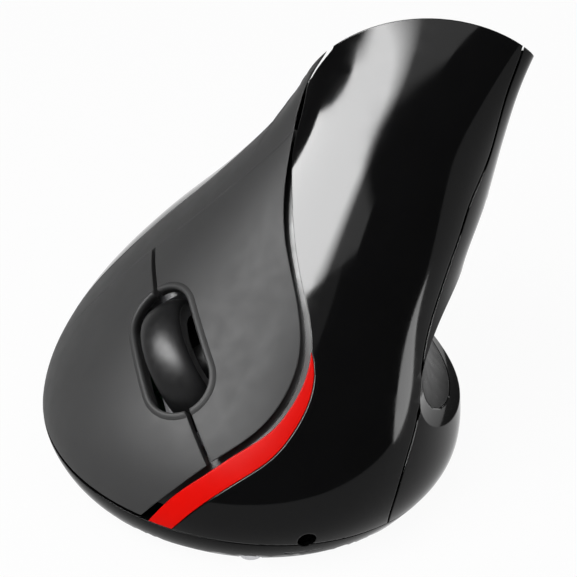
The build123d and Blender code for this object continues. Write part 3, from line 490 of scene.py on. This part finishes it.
# Finer skins over the faceted solids that show
SKINS = {
    "front_shell": [outer, crown, channel],
    "thumb_side_shell": [outer, crown, channel],
    "finger_plate": [outer, crown],
    "index_button": [outer],
    "middle_button": [outer],
    "accent_stripe": [outer],
    "base_plate": [outer],
    "thumb_pad": [channel],
    "forward_button": [key_face],
    "back_button": [key_face],
}
for name, surfaces in SKINS.items():
    skin(name, surfaces, SKIN_STEP)


def at_form(point):
    """Distance of one point from the outer form and the way out of it."""
    distance, normal = outer(np.array([point], float))
    return distance[0], Vector(normal[0])


def closed_strip(rings):
    """A closed bar through rings of the same number of points."""
    bm = bmesh.new()
    rows = [[bm.verts.new(point * MM) for point in ring] for ring in rings]
    size = len(rows[0])
    for row, following in zip(rows, rows[1:]):
        for i in range(size):
            bm.faces.new((row[i], row[(i + 1) % size], following[(i + 1) % size], following[i]))
    bm.faces.new(list(reversed(rows[0])))
    bm.faces.new(rows[-1])
    bmesh.ops.recalc_face_normals(bm, faces=bm.faces)
    return bm


# Thin web of the panel along the line where the two buttons bend
flexure_normal = HAND_BACK * cos(radians(FLEXURE_LEAN)) - HAND_OUT * sin(radians(FLEXURE_LEAN))
flexure_up = flexure_normal.cross(HAND_ACROSS)
flexure_up = flexure_up if flexure_up.dot(HAND_OUT) > 0 else -flexure_up
WEB_DEPTH, WEB_STEP, WEB_END_GAP = 1.7, 0.5, 0.05
WEB_LAYERS = (-0.5, 0.0, 0.5)
PLANE_TOLERANCE = 0.02
# Search for the outer form along a line: rounds, the flattest meeting and the longest move
WEB_ROUNDS, WEB_FLATTEST, WEB_MOVE = 25, 0.15, 6.0


def on_flexure(across, shift):
    """A place of the outer form in the flexure plane moved along its normal by a shift."""
    point = hand(across, FLEXURE_REACH, -FLEXURE_DEPTH) + flexure_normal * shift
    for _ in range(WEB_ROUNDS):
        distance, normal = at_form(point)
        rate = normal.dot(flexure_up)
        if abs(rate) < WEB_FLATTEST:
            return None
        point = point - flexure_up * max(min(distance / rate, WEB_MOVE), -WEB_MOVE)
    return point


def flexure_web(name, start, end):
    """The web between the fixed panel and one button, over a range across the panel."""
    rings = []
    steps = int(abs(end - start) / WEB_STEP) + 1
    for step in range(steps + 1):
        across = start + (end - start) * step / steps
        tops = [on_flexure(across, layer * FLEXURE_GAP) for layer in WEB_LAYERS]
        if any(top is None for top in tops):
            break
        deep = [top - at_form(top)[1] * WEB_DEPTH for top in (tops[0], tops[-1])]
        rings.append(tops + [deep[1], deep[0]])
    piece = add_object(name, closed_strip(rings), None, "matte_panel")
    smooth_normals(piece.data, [outer])
    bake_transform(piece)
    return piece


def reach_of(node, sign):
    """How far a node's flexure edge goes across the panel."""
    best = 0.0
    for vertex in nodes[node].data.vertices:
        offset = vertex.co / MM - hand(0, FLEXURE_REACH, -FLEXURE_DEPTH)
        if abs(offset.dot(flexure_normal) - FLEXURE_GAP / 2) < PLANE_TOLERANCE:
            best = max(best, sign * offset.dot(HAND_ACROSS))
    return best


index_end = reach_of("finger_plate", 1) - WEB_END_GAP
middle_end = reach_of("finger_plate", -1) - WEB_END_GAP
flexure_web("index_web", 0.0, index_end)
flexure_web("middle_web", 0.0, -middle_end)

# Raised lip round the wheel's opening, in two halves that the slit divides.
# The profile goes outwards from the opening: distance from its edge and height over the form
LIP_PROFILE = (
    (-0.05, -1.5), (-0.05, 0.0), (0.12, 0.26), (0.40, 0.36), (0.75, 0.28), (1.10, 0.08),
    (1.35, -0.10), (1.2, -1.5),
)
LIP_STEPS = 72
LIP_SLIT_GAP = 0.02
LIP_ROUNDS, LIP_FLATTEST = 12, 0.3


def opening_outline(grow):
    """Places along one half of the opening's outline, grown outwards, from slit to slit."""
    half = (OPENING_LENGTH - OPENING_WIDTH) / 2
    radius = OPENING_WIDTH / 2
    straight, arc = 2 * half, pi * radius / 2
    places = []
    for step in range(LIP_STEPS + 1):
        s = (straight + 2 * arc) * step / LIP_STEPS
        if s < arc:
            angle = s / radius
            places.append(((radius + grow) * sin(angle), half + (radius + grow) * cos(angle)))
        elif s < arc + straight:
            places.append((radius + grow, half - (s - arc)))
        else:
            angle = (s - arc - straight) / radius
            places.append(((radius + grow) * cos(angle), -half - (radius + grow) * sin(angle)))
    return places


def opening_lip(name, body, side):
    """The lip on one button."""
    rings = [[] for _ in range(LIP_STEPS + 1)]
    for grow, rise in LIP_PROFILE:
        for ring, (across, along) in zip(rings, opening_outline(grow)):
            across = side * max(across, SLIT_WIDTH / 2 + LIP_SLIT_GAP)
            spot = hand(across, along, 0)
            for _ in range(LIP_ROUNDS):
                distance, normal = at_form(spot)
                spot = spot - HAND_OUT * (distance / max(normal.dot(HAND_OUT), LIP_FLATTEST))
            ring.append(spot + HAND_OUT * rise)
    piece = add_object(name, closed_strip(rings), body, "matte_panel")
    piece.data.shade_smooth()
    return piece


opening_lip("index_lip", "index_button", 1)
opening_lip("middle_lip", "middle_button", -1)

# Tyre of the wheel, a crowned rubber ring. The profile goes across it: place and radius
TYRE_PROFILE = (
    (-3.9, 10.3), (-3.88, 10.75), (-3.7, 11.2), (-3.35, 11.58), (-2.8, 11.93),
    (-2.0, 12.24), (-1.0, 12.44), (0.0, 12.5), (1.0, 12.44), (2.0, 12.24),
    (2.8, 11.93), (3.35, 11.58), (3.7, 11.2), (3.88, 10.75), (3.9, 10.3),
)
TYRE_STEPS = 120


def lathe(profile, middle, steps):
    """A closed ring turned about the wheel's axle from places (across, radius)."""
    bm = bmesh.new()
    rows = []
    for step in range(steps):
        angle = 2 * pi * step / steps
        spoke = HAND_BACK * cos(angle) + HAND_OUT * sin(angle)
        places = [middle + HAND_ACROSS * across + spoke * radius for across, radius in profile]
        rows.append([bm.verts.new(point * MM) for point in places])
    size = len(profile)
    for index, row in enumerate(rows):
        following = rows[(index + 1) % steps]
        for i in range(size):
            bm.faces.new((row[i], row[(i + 1) % size], following[(i + 1) % size], following[i]))
    bmesh.ops.recalc_face_normals(bm, faces=bm.faces)
    return bm


tyre_ring = lathe(TYRE_PROFILE, hand(0, 0, -WHEEL_DEPTH), TYRE_STEPS)
tyre = add_object("wheel_tyre_rubber", tyre_ring, "scroll_wheel", "wheel_rubber")
tyre.data.shade_smooth()
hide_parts("wheel_tyre")

# Camera at the photograph's viewing angle
VIEW_BACK = Vector((-0.2387, -0.8325, 0.5)).normalized()
VIEW_RIGHT = Vector((0.961, -0.2756, 0)).normalized()
VIEW_UP = VIEW_BACK.cross(VIEW_RIGHT)
VIEW_TARGET = Vector((-3.8, -3.8, 36.0))
VIEW_DISTANCE = 430.0
SENSOR, LENS = 36.0, 154.3
FRAMING = (0.0355, -0.0043)
CLIP_NEAR, CLIP_FAR = 0.01, 50
camera_data = bpy.data.cameras.new("camera")
camera = bpy.data.objects.new("camera", camera_data)
bpy.context.scene.collection.objects.link(camera)
camera_data.sensor_width = SENSOR
camera_data.lens = LENS
camera_data.shift_x, camera_data.shift_y = FRAMING
camera_data.clip_start, camera_data.clip_end = CLIP_NEAR, CLIP_FAR
turn = Matrix((VIEW_RIGHT, VIEW_UP, VIEW_BACK)).transposed().to_4x4()
camera.matrix_world = Matrix.Translation((VIEW_TARGET + VIEW_BACK * VIEW_DISTANCE) * MM) @ turn
bpy.context.scene.camera = camera

# Plain pale floor, in metres, just under the glides. Its glow shows it white to the camera,
# in gloss and through glass alike
FLOOR_SIDE, FLOOR_DROP = 8.0, 0.00005
FLOOR_GREY, FLOOR_GLOW = 0.86, 0.95
bm = bmesh.new()
bmesh.ops.create_grid(bm, x_segments=1, y_segments=1, size=FLOOR_SIDE / 2)
floor_mesh = bpy.data.meshes.new("floor")
bm.to_mesh(floor_mesh)
bm.free()
floor = bpy.data.objects.new("floor", floor_mesh)
bpy.context.scene.collection.objects.link(floor)
floor.location.z = -FLOOR_DROP
floor_material = bpy.data.materials.new("floor")
floor_material.use_nodes = True
tree = floor_material.node_tree
tree.nodes.clear()
floor_output = node_of(tree, "ShaderNodeOutputMaterial")
floor_mix = node_of(tree, "ShaderNodeMixShader")
floor_paint = node_of(tree, "ShaderNodeBsdfDiffuse", Color=[FLOOR_GREY] * 3 + [1])
floor_glow = node_of(tree, "ShaderNodeEmission", Color=WHITE, Strength=1.0)
light_path = node_of(tree, "ShaderNodeLightPath")
seen = node_of(tree, "ShaderNodeMath", operation="MAXIMUM")
seen_through = node_of(tree, "ShaderNodeMath", operation="MAXIMUM")
share = node_of(tree, "ShaderNodeMath", operation="MULTIPLY")
tree.links.new(light_path.outputs["Is Camera Ray"], seen.inputs[0])
tree.links.new(light_path.outputs["Is Glossy Ray"], seen.inputs[1])
tree.links.new(seen.outputs[0], seen_through.inputs[0])
tree.links.new(light_path.outputs["Is Transmission Ray"], seen_through.inputs[1])
tree.links.new(seen_through.outputs[0], share.inputs[0])
share.inputs[1].default_value = FLOOR_GLOW
tree.links.new(share.outputs[0], floor_mix.inputs[0])
tree.links.new(floor_paint.outputs[0], floor_mix.inputs[1])
tree.links.new(floor_glow.outputs[0], floor_mix.inputs[2])
tree.links.new(floor_mix.outputs[0], floor_output.inputs["Surface"])
floor_mesh.materials.append(floor_material)

# World and lamps
WORLD_STRENGTH = 0.12
world = bpy.data.worlds.new("studio")
bpy.context.scene.world = world
world.use_nodes = True
background = world.node_tree.nodes["Background"]
background.inputs["Color"].default_value = WHITE
background.inputs["Strength"].default_value = WORLD_STRENGTH

# Fade across the window box, and the slanting flag that covers its lower corner, as shares of it
FADE_START, FADE_END = 0.69, 0.79
FLAG_SLOPE, FLAG_START, FLAG_END = 1.3, -0.68, -0.56


def lamp(
    name,
    azimuth,
    elevation,
    distance,
    width,
    height,
    radiance,
    faded=1.0,
    mirrored=True,
    lit=True,
):
    """A soft box that faces the object. Azimuth 0 is in front and grows towards +X.

    The box is mirrored in gloss, lights matte surfaces, or both. If its radiance fades to a
    share below 1 across its width, a flag also covers its lower corner.
    """
    way = Vector(
        (
            sin(radians(azimuth)) * cos(radians(elevation)),
            -cos(radians(azimuth)) * cos(radians(elevation)),
            sin(radians(elevation)),
        )
    )
    data = bpy.data.lights.new(name, "AREA")
    data.shape = "RECTANGLE"
    data.size, data.size_y = width, height
    data.energy = radiance * pi * width * height
    box = bpy.data.objects.new(name, data)
    bpy.context.scene.collection.objects.link(box)
    box.location = VIEW_TARGET * MM + way * distance
    box.rotation_euler = way.to_track_quat("Z", "Y").to_euler()
    box.visible_glossy = mirrored
    box.visible_diffuse = lit
    if faded < 1:
        data.use_nodes = True
        tree = data.node_tree
        across = node_of(tree, "ShaderNodeSeparateXYZ")
        geometry = node_of(tree, "ShaderNodeNewGeometry")
        tree.links.new(geometry.outputs["Parametric"], across.inputs[0])
        fade = spread(tree, across.outputs["X"], FADE_START, FADE_END, 1, faded)
        slant = node_of(tree, "ShaderNodeMath", operation="MULTIPLY_ADD")
        tree.links.new(across.outputs["X"], slant.inputs[0])
        slant.inputs[1].default_value = -FLAG_SLOPE
        tree.links.new(across.outputs["Y"], slant.inputs[2])
        flag = spread(tree, slant.outputs[0], FLAG_START, FLAG_END, 0, 1)
        shade = node_of(tree, "ShaderNodeMath", operation="MULTIPLY")
        tree.links.new(fade, shade.inputs[0])
        tree.links.new(flag, shade.inputs[1])
        tree.links.new(shade.outputs[0], tree.nodes["Emission"].inputs["Strength"])


lamp("window_box", -62, 47, 0.75, 1.14, 0.33, 55.0, faded=0.05, lit=False)
lamp("key_box", -60, 48, 0.75, 0.7, 0.5, 4.5, mirrored=False)
lamp("top_box", 20, 78, 1.1, 1.0, 1.0, 0.7)
lamp("rim_box", 75, 2, 0.9, 0.5, 0.2, 12.0, lit=False)

bpy.context.scene.view_settings.view_transform = "Standard"
